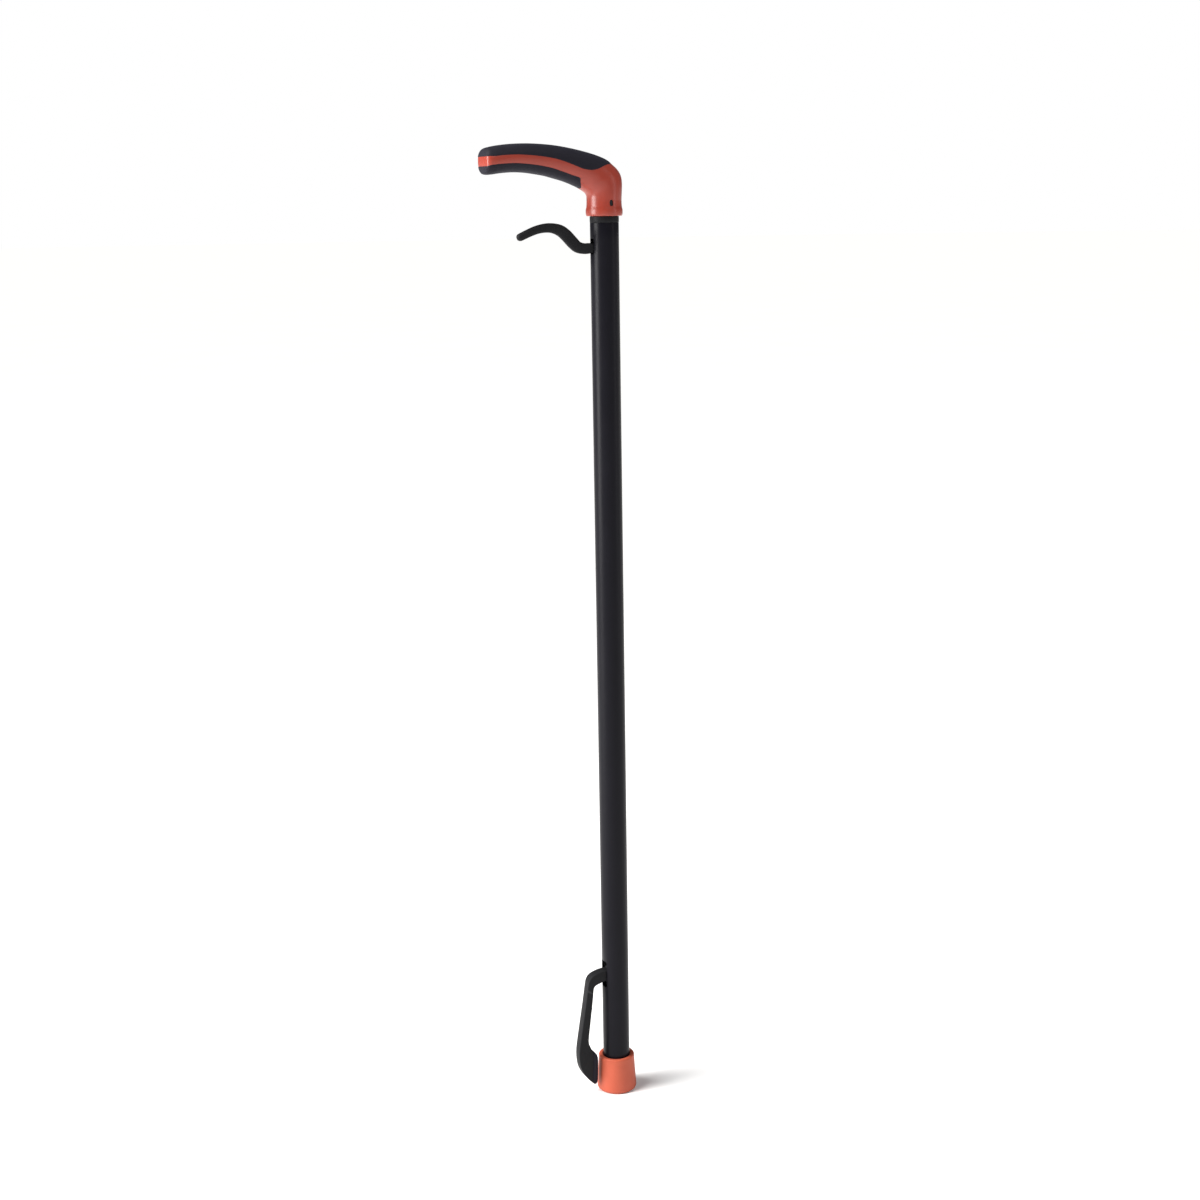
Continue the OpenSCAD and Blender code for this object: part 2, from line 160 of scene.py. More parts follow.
lamp_towards("key_sun", "SUN", (-1.9, 0.3, 3.4), (0, 0, 0.4), 3.7, 30, (1.0, 0.985, 0.96))
lamp_towards("left_panel", "AREA", (-1.93, 0.25, 1.0), (0, 0, 0.5), 58, (0.9, 1.6), (1.0, 0.99, 0.98))
lamp_towards("front_panel", "AREA", (0.3, -1.3, 2.2), (-0.03, 0, 0.85), 13, (1.2, 0.5), (1.0, 1.0, 1.0))
lamp_towards("right_panel", "AREA", (1.5, -1.3, 0.9), (0, 0, 0.45), 3, (0.3, 1.6), (0.97, 0.98, 1.0))

# %% [markdown]
# ## Floor
#
# The stick stands on a plain pale floor. A flat disc wide enough to reach
# past every view would do as a stand-in for a sweep of paper, and it keeps
# the same look from all sides. Its finish is a very faint mottling, so that
# the shadow by the foot falls on something that reads as paper.

# %% Floor
def new_object(name, verts, faces, smooth=True):
    """A mesh object from points in millimetres."""
    mesh = bpy.data.meshes.new(name)
    mesh.from_pydata([tuple(c * MM for c in v) for v in verts], [], faces)
    mesh.validate()
    if smooth:
        mesh.polygons.foreach_set("use_smooth", [True] * len(mesh.polygons))
    obj = bpy.data.objects.new(name, mesh)
    scene.collection.objects.link(obj)
    return obj


floor_ring = [(60000 * math.cos(a), 60000 * math.sin(a), 0)
              for a in np.linspace(0, 2 * math.pi, 96, endpoint=False)]
floor = new_object("paper_floor", floor_ring, [list(range(96))], smooth=False)
print("floor is %.0f m across" % (floor.dimensions.x))

# %% [markdown]
# ## Shared effects
#
# Real plastic and rubber are never one flat colour. Three effects return in
# most finishes, so each is built once as a node group and then placed in
# every material with its own values: a moulded grain, the slight lightening
# that handling leaves on raised edges, and a soft mottling from dust and
# fingers. A group only hands out heights and masks. The shader itself stays
# in each material, where its constants can be read.

# %% A helper that starts a node group
def start_group(name, inputs, outputs):
    group = bpy.data.node_groups.new(name, "ShaderNodeTree")
    for label, value in inputs:
        socket = group.interface.new_socket(label, in_out="INPUT", socket_type="NodeSocketFloat")
        socket.default_value = value
    for label in outputs:
        group.interface.new_socket(label, in_out="OUTPUT", socket_type="NodeSocketFloat")
    return group, group.nodes.new("NodeGroupInput"), group.nodes.new("NodeGroupOutput")


def place_on_piece(group, scale_socket):
    """Object coordinates, times the group's scale."""
    coord = group.nodes.new("ShaderNodeTexCoord")
    size = group.nodes.new("ShaderNodeVectorMath")
    size.operation = "SCALE"
    group.links.new(coord.outputs["Object"], size.inputs[0])
    group.links.new(scale_socket, size.inputs["Scale"])
    return size.outputs[0]


print("groups start empty:", len(bpy.data.node_groups))

# %% [markdown]
# ### Moulded grain
#
# A mould is etched with fine rounded pits, which leave low bumps on the
# part. Voronoi cells give the pitted layout, and a noise over them breaks
# the evenness. Only a height comes out, which each finish feeds to a bump.

# %% Moulded grain
grain_group, gi, go = start_group(
    "moulded_grain", [("Scale", 1400.0), ("Roughen", 0.5)], ["Height"])
spot = place_on_piece(grain_group, gi.outputs["Scale"])
cells = grain_group.nodes.new("ShaderNodeTexVoronoi")
cells.feature = "SMOOTH_F1"
cells.inputs["Scale"].default_value = 1.0
cells.inputs["Smoothness"].default_value = 0.7
fine = grain_group.nodes.new("ShaderNodeTexNoise")
fine.inputs["Scale"].default_value = 1.7
fine.inputs["Detail"].default_value = 3.0
both = grain_group.nodes.new("ShaderNodeMix")
grain_group.links.new(spot, cells.inputs["Vector"])
grain_group.links.new(spot, fine.inputs["Vector"])
grain_group.links.new(gi.outputs["Roughen"], both.inputs[0])
grain_group.links.new(cells.outputs["Distance"], both.inputs[2])
grain_group.links.new(fine.outputs["Fac"], both.inputs[3])
grain_group.links.new(both.outputs[0], go.inputs["Height"])
print("made", grain_group.name)

# %% [markdown]
# ### Edge wear
#
# Hands and bags rub the raised edges first. Geometry's Pointiness is higher
# than a half on such edges, so a narrow ramp over it picks them out, and a
# noise leaves gaps in the line as real rubbing does.

# %% Edge wear
wear_group, gi, go = start_group(
    "edge_rub", [("Start", 0.52), ("Full", 0.6), ("Amount", 0.5)], ["Mask"])
shape = wear_group.nodes.new("ShaderNodeNewGeometry")
ramp = wear_group.nodes.new("ShaderNodeMapRange")
wear_group.links.new(shape.outputs["Pointiness"], ramp.inputs["Value"])
wear_group.links.new(gi.outputs["Start"], ramp.inputs["From Min"])
wear_group.links.new(gi.outputs["Full"], ramp.inputs["From Max"])
coord = wear_group.nodes.new("ShaderNodeTexCoord")
gaps = wear_group.nodes.new("ShaderNodeTexNoise")
gaps.inputs["Scale"].default_value = 260.0
gaps.inputs["Detail"].default_value = 4.0
wear_group.links.new(coord.outputs["Object"], gaps.inputs["Vector"])
broken = wear_group.nodes.new("ShaderNodeMath")
broken.operation = "MULTIPLY"
wear_group.links.new(ramp.outputs["Result"], broken.inputs[0])
wear_group.links.new(gaps.outputs["Fac"], broken.inputs[1])
level = wear_group.nodes.new("ShaderNodeMath")
level.operation = "MULTIPLY"
wear_group.links.new(broken.outputs[0], level.inputs[0])
wear_group.links.new(gi.outputs["Amount"], level.inputs[1])
wear_group.links.new(level.outputs[0], go.inputs["Mask"])
print("made", wear_group.name)

# %% [markdown]
# ### Handling marks
#
# Skin oil and dust leave broad soft patches where a finish is slightly
# glossier or duller. One noise with several layers of detail, pushed towards
# black and white, gives patches with soft borders and no repeat.

# %% Handling marks
marks_group, gi, go = start_group(
    "handling_marks", [("Patch Scale", 60.0), ("Contrast", 0.6)], ["Mask"])
spot = place_on_piece(marks_group, gi.outputs["Patch Scale"])
broad = marks_group.nodes.new("ShaderNodeTexNoise")
broad.inputs["Scale"].default_value = 1.0
broad.inputs["Detail"].default_value = 5.0
broad.inputs["Roughness"].default_value = 0.62
broad.inputs["Distortion"].default_value = 0.4
marks_group.links.new(spot, broad.inputs["Vector"])
centre = marks_group.nodes.new("ShaderNodeMath")
centre.operation = "SUBTRACT"
centre.inputs[1].default_value = 0.5
gain = marks_group.nodes.new("ShaderNodeMath")
gain.operation = "MULTIPLY_ADD"
gain.inputs[2].default_value = 0.5
gain.use_clamp = True
span = marks_group.nodes.new("ShaderNodeMath")
span.operation = "MULTIPLY"
span.inputs[1].default_value = 4.0
marks_group.links.new(broad.outputs["Fac"], centre.inputs[0])
marks_group.links.new(gi.outputs["Contrast"], span.inputs[0])
marks_group.links.new(centre.outputs[0], gain.inputs[0])
marks_group.links.new(span.outputs[0], gain.inputs[1])
marks_group.links.new(gain.outputs[0], go.inputs["Mask"])
print("made", marks_group.name)

# %% [markdown]
# ### Drawn lines
#
# A tube is drawn and then coated, and both leave hair-fine lines along it.
# Noise that is squeezed around the tube and stretched along it gives lines
# of uneven length, which suit a coated tube better than regular grooves.

# %% Drawn lines
lines_group, gi, go = start_group(
    "drawn_lines", [("Across", 900.0), ("Along", 12.0)], ["Height"])
coord = lines_group.nodes.new("ShaderNodeTexCoord")
stretch = lines_group.nodes.new("ShaderNodeCombineXYZ")
lines_group.links.new(gi.outputs["Across"], stretch.inputs[0])
lines_group.links.new(gi.outputs["Across"], stretch.inputs[1])
lines_group.links.new(gi.outputs["Along"], stretch.inputs[2])
scaled = lines_group.nodes.new("ShaderNodeVectorMath")
scaled.operation = "MULTIPLY"
lines_group.links.new(coord.outputs["Object"], scaled.inputs[0])
lines_group.links.new(stretch.outputs[0], scaled.inputs[1])
hair = lines_group.nodes.new("ShaderNodeTexNoise")
hair.inputs["Scale"].default_value = 1.0
hair.inputs["Detail"].default_value = 3.0
lines_group.links.new(scaled.outputs[0], hair.inputs["Vector"])
lines_group.links.new(hair.outputs["Fac"], go.inputs["Height"])
print("made", lines_group.name)

# %% [markdown]
# ## Finishes
#
# Each finish below follows the same order, so a small starter function does
# the common part: a colour that shifts between two close tones with the
# handling marks, a roughness that shifts with them too, and a bump. What
# makes each finish its own is then added in its cell.

# %% A starter for finishes
def starter(name, tone_a, tone_b, rough, patch_scale, contrast, shader_values):
    """A material with two tones and two roughnesses mixed by handling marks."""
    mat = bpy.data.materials.new(name)
    mat.use_nodes = True
    tree = mat.node_tree
    shader = tree.nodes["Principled BSDF"]
    for socket, value in shader_values.items():
        shader.inputs[socket].default_value = value
    marks = tree.nodes.new("ShaderNodeGroup")
    marks.node_tree = marks_group
    marks.inputs["Patch Scale"].default_value = patch_scale
    marks.inputs["Contrast"].default_value = contrast
    tone = tree.nodes.new("ShaderNodeMix")
    tone.data_type = "RGBA"
    tone.inputs[6].default_value = (*tone_a, 1)
    tone.inputs[7].default_value = (*tone_b, 1)
    tree.links.new(marks.outputs["Mask"], tone.inputs[0])
    gloss = tree.nodes.new("ShaderNodeMapRange")
    gloss.inputs["To Min"].default_value = rough[0]
    gloss.inputs["To Max"].default_value = rough[1]
    tree.links.new(marks.outputs["Mask"], gloss.inputs["Value"])
    tree.links.new(gloss.outputs["Result"], shader.inputs["Roughness"])
    tree.links.new(tone.outputs[2], shader.inputs["Base Color"])
    return mat, tree, shader, tone


def add_bump(tree, shader, height, distance, strength):
    """A bump whose depth is in metres."""
    bump = tree.nodes.new("ShaderNodeBump")
    bump.inputs["Distance"].default_value = distance
    bump.inputs["Strength"].default_value = strength
    tree.links.new(height, bump.inputs["Height"])
    tree.links.new(bump.outputs["Normal"], shader.inputs["Normal"])
    return bump


def add_grain(tree, scale, roughen):
    grain = tree.nodes.new("ShaderNodeGroup")
    grain.node_tree = grain_group
    grain.inputs["Scale"].default_value = scale
    grain.inputs["Roughen"].default_value = roughen
    return grain.outputs["Height"]


def add_wear(tree, shader, tone, rubbed_colour, start, full, amount):
    """Lightens the colour along rubbed edges."""
    wear = tree.nodes.new("ShaderNodeGroup")
    wear.node_tree = wear_group
    wear.inputs["Start"].default_value = start
    wear.inputs["Full"].default_value = full
    wear.inputs["Amount"].default_value = amount
    rubbed = tree.nodes.new("ShaderNodeMix")
    rubbed.data_type = "RGBA"
    rubbed.inputs[7].default_value = (*rubbed_colour, 1)
    tree.links.new(wear.outputs["Mask"], rubbed.inputs[0])
    tree.links.new(tone.outputs[2], rubbed.inputs[6])
    tree.links.new(rubbed.outputs[2], shader.inputs["Base Color"])
    return rubbed


print("starter ready")

# %% [markdown]
# ### Orange grip shell
#
# The hard part of the grip is a satin moulding in a warm orange-red. It has
# a soft, wide highlight rather than a mirror one, and the finest of grains.
# Colour and gloss move only a little, as on a clean new part.

# %% Orange grip shell finish
orange_satin, t, s, tone = starter(
    "orange_satin", (0.31, 0.040, 0.023), (0.275, 0.034, 0.0195), (0.26, 0.34), 45, 0.5,
    {"Specular IOR Level": 0.42, "Coat Weight": 0.08, "Coat Roughness": 0.25})
add_bump(t, s, add_grain(t, 2600, 0.35), 0.00002, 0.35)
add_wear(t, s, tone, (0.44, 0.09, 0.060), 0.53, 0.64, 0.35)
print("finish", orange_satin.name)

# %% [markdown]
# ### Soft-touch black
#
# The pads are a soft black rubber with a dull, slightly blue sheen where
# they turn away from the eye. Principled's own sheen gives that velvety
# edge, and a coarser grain than the shell's keeps the highlight broad.

# %% Soft-touch black finish
soft_black, t, s, tone = starter(
    "soft_touch_black", (0.0078, 0.0070, 0.0120), (0.0102, 0.0092, 0.0152), (0.56, 0.68), 70, 0.7,
    {"Specular IOR Level": 0.15, "Sheen Weight": 0.03, "Sheen Roughness": 0.5})
s.inputs["Sheen Tint"].default_value = (0.72, 0.78, 1.0, 1)
add_bump(t, s, add_grain(t, 1500, 0.45), 0.00006, 0.5)
add_wear(t, s, tone, (0.05, 0.05, 0.06), 0.53, 0.66, 0.4)
print("finish", soft_black.name)

# %% [markdown]
# ### Black moulding
#
# The trigger, the jaw and the ring at the collar are a glass-filled black
# plastic: grey-black, evenly matt, with a visible etched grain and paler
# corners where the mould halves met.

# %% Black moulding finish
black_moulding, t, s, tone = starter(
    "black_moulding", (0.0100, 0.0100, 0.0112), (0.0130, 0.0130, 0.0144), (0.46, 0.58), 80, 0.6,
    {"Specular IOR Level": 0.10})
add_bump(t, s, add_grain(t, 1150, 0.5), 0.00007, 0.55)
add_wear(t, s, tone, (0.10, 0.10, 0.105), 0.52, 0.62, 0.6)
print("finish", black_moulding.name)

# %% [markdown]
# ### Dark coated tube
#
# The tube has a dark satin coat with a cold tint. A coat over metal shows a
# long, even highlight, so the drawn lines and the grain are kept very
# shallow: just enough to break the band's edge when seen close.

# %% Dark coated tube finish
dark_coat, t, s, tone = starter(
    "dark_satin_coat", (0.0048, 0.0045, 0.0072), (0.0064, 0.0060, 0.0092), (0.30, 0.40), 26, 0.5,
    {"Specular IOR Level": 0.10, "Coat Weight": 0.02, "Coat Roughness": 0.18})
hairlines = t.nodes.new("ShaderNodeGroup")
hairlines.node_tree = lines_group
layered = t.nodes.new("ShaderNodeMix")
layered.inputs[0].default_value = 0.45
t.links.new(add_grain(t, 2200, 0.6), layered.inputs[2])
t.links.new(hairlines.outputs["Height"], layered.inputs[3])
add_bump(t, s, layered.outputs[0], 0.00002, 0.3)
add_wear(t, s, tone, (0.09, 0.09, 0.10), 0.54, 0.66, 0.5)
print("finish", dark_coat.name)

# %% [markdown]
# ### Orange foot rubber
#
# The foot is rubber in a lighter, yellower orange than the grip. It is
# dull, and the faint chalky bloom that rubber gets shows as paler patches,
# strongest on the rim.

# %% Orange foot rubber finish
foot_orange, t, s, tone = starter(
    "foot_orange_rubber", (0.49, 0.090, 0.043), (0.44, 0.078, 0.037), (0.50, 0.62), 55, 0.6,
    {"Specular IOR Level": 0.35, "Sheen Weight": 0.05, "Sheen Roughness": 0.55})
s.inputs["Sheen Tint"].default_value = (1.0, 0.85, 0.8, 1)
add_bump(t, s, add_grain(t, 1300, 0.5), 0.00005, 0.45)
add_wear(t, s, tone, (0.60, 0.18, 0.11), 0.53, 0.64, 0.5)
print("finish", foot_orange.name)

# %% [markdown]
# ### Steel and white plastic inside
#
# The rod, pins, nuts and spring can only be glimpsed through the two slots,
# but they are part of the object and get a proper finish: a turned steel
# with drawn lines, and a milky bearing plastic for the guides.

# %% Inner finishes
turned_steel, t, s, tone = starter(
    "turned_steel", (0.50, 0.50, 0.52), (0.60, 0.60, 0.61), (0.24, 0.36), 120, 0.6,
    {"Metallic": 1.0})
hairlines = t.nodes.new("ShaderNodeGroup")
hairlines.node_tree = lines_group
hairlines.inputs["Across"].default_value = 400.0
hairlines.inputs["Along"].default_value = 2200.0
add_bump(t, s, hairlines.outputs["Height"], 0.00003, 0.35)
bearing_white, t, s, tone = starter(
    "bearing_white", (0.78, 0.78, 0.75), (0.70, 0.70, 0.67), (0.38, 0.48), 90, 0.5,
    {"Subsurface Weight": 0.1, "Subsurface Scale": 0.001})
s.inputs["Subsurface Radius"].default_value = (1.0, 0.9, 0.8)
add_bump(t, s, add_grain(t, 1600, 0.5), 0.00003, 0.3)
paper_white, t, s, tone = starter(
    "paper_white", (0.93, 0.93, 0.93), (0.90, 0.90, 0.905), (0.85, 0.95), 3, 0.4,
    {"Specular IOR Level": 0.1})
add_bump(t, s, add_grain(t, 500, 0.6), 0.00005, 0.2)
floor.data.materials.append(paper_white)
print("finishes:", len(bpy.data.materials))

# %% [markdown]
# ## Mesh helpers
#
# Nearly every piece is one of three kinds: a skin stretched over a row of
# closed rings, a profile turned about the tube's axis, or a flat outline
# given a thickness. Writing these three once keeps each piece's own cell to
# the shape that matters. The skin follows a smooth curve through its
# stations, so a few measured sections give a flowing surface.

# %% Curves and skins
def through(rows, t):
    """The smooth curve through rows at parameter t, one unit per row."""
    rows = np.asarray(rows, float)
    i = int(min(len(rows) - 2, max(0, math.floor(t))))
    u = t - i
    a, b, c, d = (rows[min(len(rows) - 1, max(0, k))] for k in (i - 1, i, i + 1, i + 2))
    return 0.5 * (2 * b + (c - a) * u + (2 * a - 5 * b + 4 * c - d) * u * u
                  + (3 * b - a - 3 * c + d) * u ** 3)


def signed_power(v, e):
    return math.copysign(abs(v) ** e, v)


def skin_over(name, rings):
    """A skin over equal rings of points, closed at both ends."""
    n = len(rings[0])
    verts = [p for ring in rings for p in ring]
    faces = []
    for j in range(len(rings) - 1):
        for k in range(n):
            a, b = j * n + k, j * n + (k + 1) % n
            faces.append((a, b, b + n, a + n))
    faces.append(tuple(range(n - 1, -1, -1)))
    faces.append(tuple((len(rings) - 1) * n + k for k in range(n)))
    return outward(new_object(name, verts, faces))


def outward(obj):
    """Turns every face to point out of the solid."""
    bm = bmesh.new()
    bm.from_mesh(obj.data)
    bmesh.ops.recalc_face_normals(bm, faces=bm.faces)
    bm.to_mesh(obj.data)
    bm.free()
    return obj


def turned(name, profile, steps=128):
    """A closed profile of (radius, height) turned about the upright axis."""
    rings = [[(r * math.cos(a), r * math.sin(a), z) for r, z in profile]
             for a in np.linspace(0, 2 * math.pi, steps, endpoint=False)]
    n = len(profile)
    verts = [p for ring in rings for p in ring]
    faces = [(j * n + k, j * n + (k + 1) % n, ((j + 1) % steps) * n + (k + 1) % n,
              ((j + 1) % steps) * n + k) for j in range(steps) for k in range(n)]
    return outward(new_object(name, verts, faces))


print("helpers: through, skin_over, turned")

# %% [markdown]
# Cutting holes and joining solids is done with the exact boolean, and the
# result is written back at once, so the finished piece carries plain
# geometry. Edges sharper than a chosen angle stay crisp, the rest shade
# smoothly.

# %% Plates, cuts and edges
def plate(name, outline, y0, y1):
    """An outline drawn in X and Z, given a thickness across Y."""
    n = len(outline)
    verts = [(x, y0, z) for x, z in outline] + [(x, y1, z) for x, z in outline]
    faces = [tuple(range(n)), tuple(range(2 * n - 1, n - 1, -1))]
    faces += [(k, k + n, (k + 1) % n + n, (k + 1) % n) for k in range(n)]
    return outward(new_object(name, verts, faces, smooth=False))


def disc_outline(x, z, r, steps=48):
    return [(x + r * math.cos(a), z + r * math.sin(a))
            for a in np.linspace(0, 2 * math.pi, steps, endpoint=False)]


def round_box(x0, x1, z0, z1, r, steps=8):
    """A rectangle with rounded corners."""
    pts = []
    corners = ((x1 - r, z1 - r, 0), (x0 + r, z1 - r, 90), (x0 + r, z0 + r, 180), (x1 - r, z0 + r, 270))
    for cx, cz, start in corners:
        for k in range(steps + 1):
            a = math.radians(start + 90 * k / steps)
            pts.append((cx + r * math.cos(a), cz + r * math.sin(a)))
    return pts


def written_back(obj):
    """Replaces the mesh with what its modifiers give."""
    deps = bpy.context.evaluated_depsgraph_get()
    mesh = bpy.data.meshes.new_from_object(obj.evaluated_get(deps))
    obj.modifiers.clear()
    obj.data = mesh
    return obj


def combine(obj, tool, how):
    """Joins, cuts or keeps the overlap with a tool solid, which is then removed."""
    step = obj.modifiers.new(how.lower(), "BOOLEAN")
    step.operation, step.object, step.solver = how, tool, "EXACT"
    written_back(obj)
    bpy.data.objects.remove(tool)
    return obj


def crisp(obj, degrees=35):
    obj.data.polygons.foreach_set("use_smooth", [True] * len(obj.data.polygons))
    obj.data.set_sharp_from_angle(angle=math.radians(degrees))
    return obj


def rounded(obj, width, segments=3, degrees=40):
    """Rounds the edges that turn by more than an angle, and writes it back."""
    step = obj.modifiers.new("round", "BEVEL")
    step.width, step.segments = width * MM, segments
    step.limit_method, step.angle_limit = "ANGLE", math.radians(degrees)
    step.use_clamp_overlap = True
    step.harden_normals = False
    return written_back(obj)


def stands_for(obj, body, slot_name, finish, *nodes):
    """Gives a finished piece its finish and its body, and hides the frame's nodes that it replaces."""
    obj.data.materials.clear()
    obj.data.materials.append(finish)
    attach(obj, body)
    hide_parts(*nodes)
    lo, hi = (Vector(c) for c in (obj.bound_box[0], obj.bound_box[6]))
    print("%-20s %6d faces, %s mm" % (obj.name, len(obj.data.polygons),
                                      [round(v / MM, 1) for v in (hi - lo)]))
    return obj


print("helpers: plate, combine, crisp, rounded, stands_for")

# %% [markdown]
# ## The grip's skin
#
# The grip is one flowing form: it rises from the collar, turns through the
# elbow, and runs out to the tip with a shallow arch. Each station below is
# one section of that form: the outer point, the inner point, half the width
# across, and how square the section is. A superellipse through those gives
# the slightly flattened oval that fills a hand, and the smooth curve
# through the stations gives the arch.

# %% Grip sections
# outer X and height, inner X and height, half width, squareness
grip_sections = [
    (15.1, 13, -15.1, 13, 15.1, 2.0), (15.5, 20, -15.3, 16.5, 15.2, 2.0),
    (15.8, 27.8, -16.6, 19, 15.2, 2.0), (14.8, 34, -19.6, 21.2, 15.1, 2.05),
    (11.6, 39.2, -22.6, 22.9, 15.0, 2.1), (7.2, 43.4, -25.6, 24.4, 14.9, 2.15),
    (1, 47.7, -29, 25.8, 14.7, 2.2), (-9, 51.5, -33.4, 27.6, 14.5, 2.25),
    (-21, 54.7, -39.4, 29.6, 14.3, 2.3), (-34, 57.4, -46.8, 31.6, 14.2, 2.3),
    (-47, 59.4, -55, 33.7, 14.2, 2.3), (-60, 60.5, -64, 35.2, 14.3, 2.3),
    (-73, 60.9, -74, 36.5, 14.5, 2.3), (-86, 60.5, -85, 36.9, 14.6, 2.3),
    (-98, 59.3, -96, 36.2, 14.6, 2.3), (-104.8, 58.1, -103.4, 35.25, 14.35, 2.3),
    (-109, 57, -108.3, 35, 13.4, 2.35), (-111.4, 55, -110.9, 35.9, 11.2, 2.4),
    (-112.4, 51.3, -112.2, 39, 7.8, 2.4)]
tip_at = len(grip_sections) - 1
tip_half = np.linalg.norm(np.subtract(grip_sections[-1][0:2], grip_sections[-1][2:4])) / 2
tip_closing = 5.2


def ease(x):
    x = min(1.0, max(0.0, x))
    return x * x * (3 - 2 * x)


def on_grip(t, angle, inset=0.0):
    """A point on the grip's skin. Angle 0 is its outer side, 180 its inner side.
    Past the last section the skin closes in a shallow dome over the tip."""
    s = through(grip_sections, min(t, tip_at))
    dome = max(0.0, t - tip_at)
    outer, inner = np.array([s[0], s[1]]), np.array([s[2], s[3]])
    middle, half = (outer + inner) / 2, np.linalg.norm(outer - inner) / 2
    up = (outer - inner) / np.linalg.norm(outer - inner)
    a, power = math.radians(angle), 2 / s[5]
    lean = math.pi / 2 * min(1.0, max(0.0, (t - tip_at + 3.2) / 3.2))
    shrink = inset * math.cos(lean)
    closing = tip_closing * dome
    along = (half - shrink - closing) * signed_power(math.cos(a), power)
    across = (s[4] - shrink - closing) * signed_power(math.sin(a), power)
    bulge = 0.45 * (1 - (1 - dome) ** 2) if dome else 0.0
    x = middle[0] + up[0] * along + 0.45 * ease(t - tip_at + 1) - bulge
    x += inset * math.sin(lean)
    return (x, across, collar_z + middle[1] + up[1] * along)


tip = on_grip(tip_at + 1, 0)
print("grip runs out to X %.1f mm, top at %.1f mm" % (tip[0], on_grip(12, 0)[2]))

# %% [markdown]
# ## The orange shell
#
# On the real grip one hard moulding makes the collar, the elbow and the
# stripe along each side. It could be joined from a turned collar and a
# swept grip, but a joint would leave a crease right where the eye rests.
# So the rings start inside the bore, come round the collar's lip and bead,
# and run on without a break into the grip's own sections.

# %% Collar profile and shell
collar_profile = [
    (12.35, 20), (12.35, 8), (12.35, 0.6), (12.45, 0.28), (12.7, 0.06), (13.0, 0),
    (14.7, 0), (15.05, 0.04), (15.3, 0.16), (15.5, 0.38), (15.68, 0.75), (15.82, 1.25),
    (15.91, 1.9), (15.95, 2.7), (15.95, 4.3), (15.91, 5.1), (15.8, 5.8), (15.64, 6.5),
    (15.48, 7.1), (15.36, 7.7), (15.28, 8.4), (15.23, 9.4), (15.18, 10.6), (15.13, 11.9)]
columns = 112


def shell_inset(t):
    """The shell sits a little lower where the pads lie on it."""
    return 0.35 * ease((t - 3.6) / 1.5)


shell_rows = [k / 9 for k in range(0, 9 * (tip_at - 1))]
shell_rows += [tip_at - 1 + k / 14 for k in range(15)]
shell_rows += [tip_at + k / 8 for k in range(1, 9)]
rings = [[(r * math.cos(2 * math.pi * k / columns), r * math.sin(2 * math.pi * k / columns),
           collar_z + z) for k in range(columns)] for r, z in collar_profile]
rings += [[on_grip(t, 360 * k / columns, shell_inset(t)) for k in range(columns)]
          for t in shell_rows]
grip_shell = skin_over("grip_shell", rings)
print("shell skin:", len(grip_shell.data.vertices), "points")

# %% [markdown]
# Two small rounded windows are cut through the collar, one on each side.
# The catches of the black insert spring into them and hold the grip on.

# %% Windows in the collar
for side in (-1, 1):
    window = [(1.7 * math.cos(a), 10.8 + collar_z + 1.7 * math.sin(a) + (1 if math.sin(a) >= 0 else -1))
              for a in np.linspace(0, 2 * math.pi, 40, endpoint=False)]
    combine(grip_shell, plate("window_tool", window, *sorted((side * 10.0, side * 18.0))), "DIFFERENCE")
crisp(grip_shell, 38)
stands_for(grip_shell, "frame", "orange_shell", orange_satin, "handle_core")

# %% [markdown]
# ## The soft pads
#
# Two black pads are moulded over the shell, one along the top and one
# along the underside. The top pad ends on the elbow in a blunt rounded
# tongue. Each pad's edge is a curve over the skin, given as an angle at
# each station, and near the tongue the curve is spaced by a square root,
# because that is how the width of a rounded end grows.
#
# At the tip the pads turn over onto the end face and stop at a level line,
# so the stripe runs straight across the end between them.
#
# A pad is laid as a sheet of points on the skin between its edges. Every
# point close to the border is then let down on a quarter circle, so the
# pad's rim is rounded all the way round, and an underside closes it.

# %% Laying a pad
def edge_angle(table, start, t):
    """The pad's half width as an angle at station t, smooth and round at its start."""
    u = math.sqrt(max(0.0, min(t, tip_at) - start))
    us = [math.sqrt(max(0.0, row[0] - start)) for row in table]
    angles = [row[1] for row in table]
    i = int(min(len(us) - 2, max(0, np.searchsorted(us, u) - 1)))
    h = us[i + 1] - us[i]

    def slope(k):
        lo, hi = max(0, k - 1), min(len(us) - 1, k + 1)
        return (angles[hi] - angles[lo]) / (us[hi] - us[lo])

    x = (u - us[i]) / h
    return ((2 * x ** 3 - 3 * x ** 2 + 1) * angles[i] + (x ** 3 - 2 * x ** 2 + x) * h * slope(i)
            + (3 * x ** 2 - 2 * x ** 3) * angles[i + 1] + (x ** 3 - x ** 2) * h * slope(i + 1))


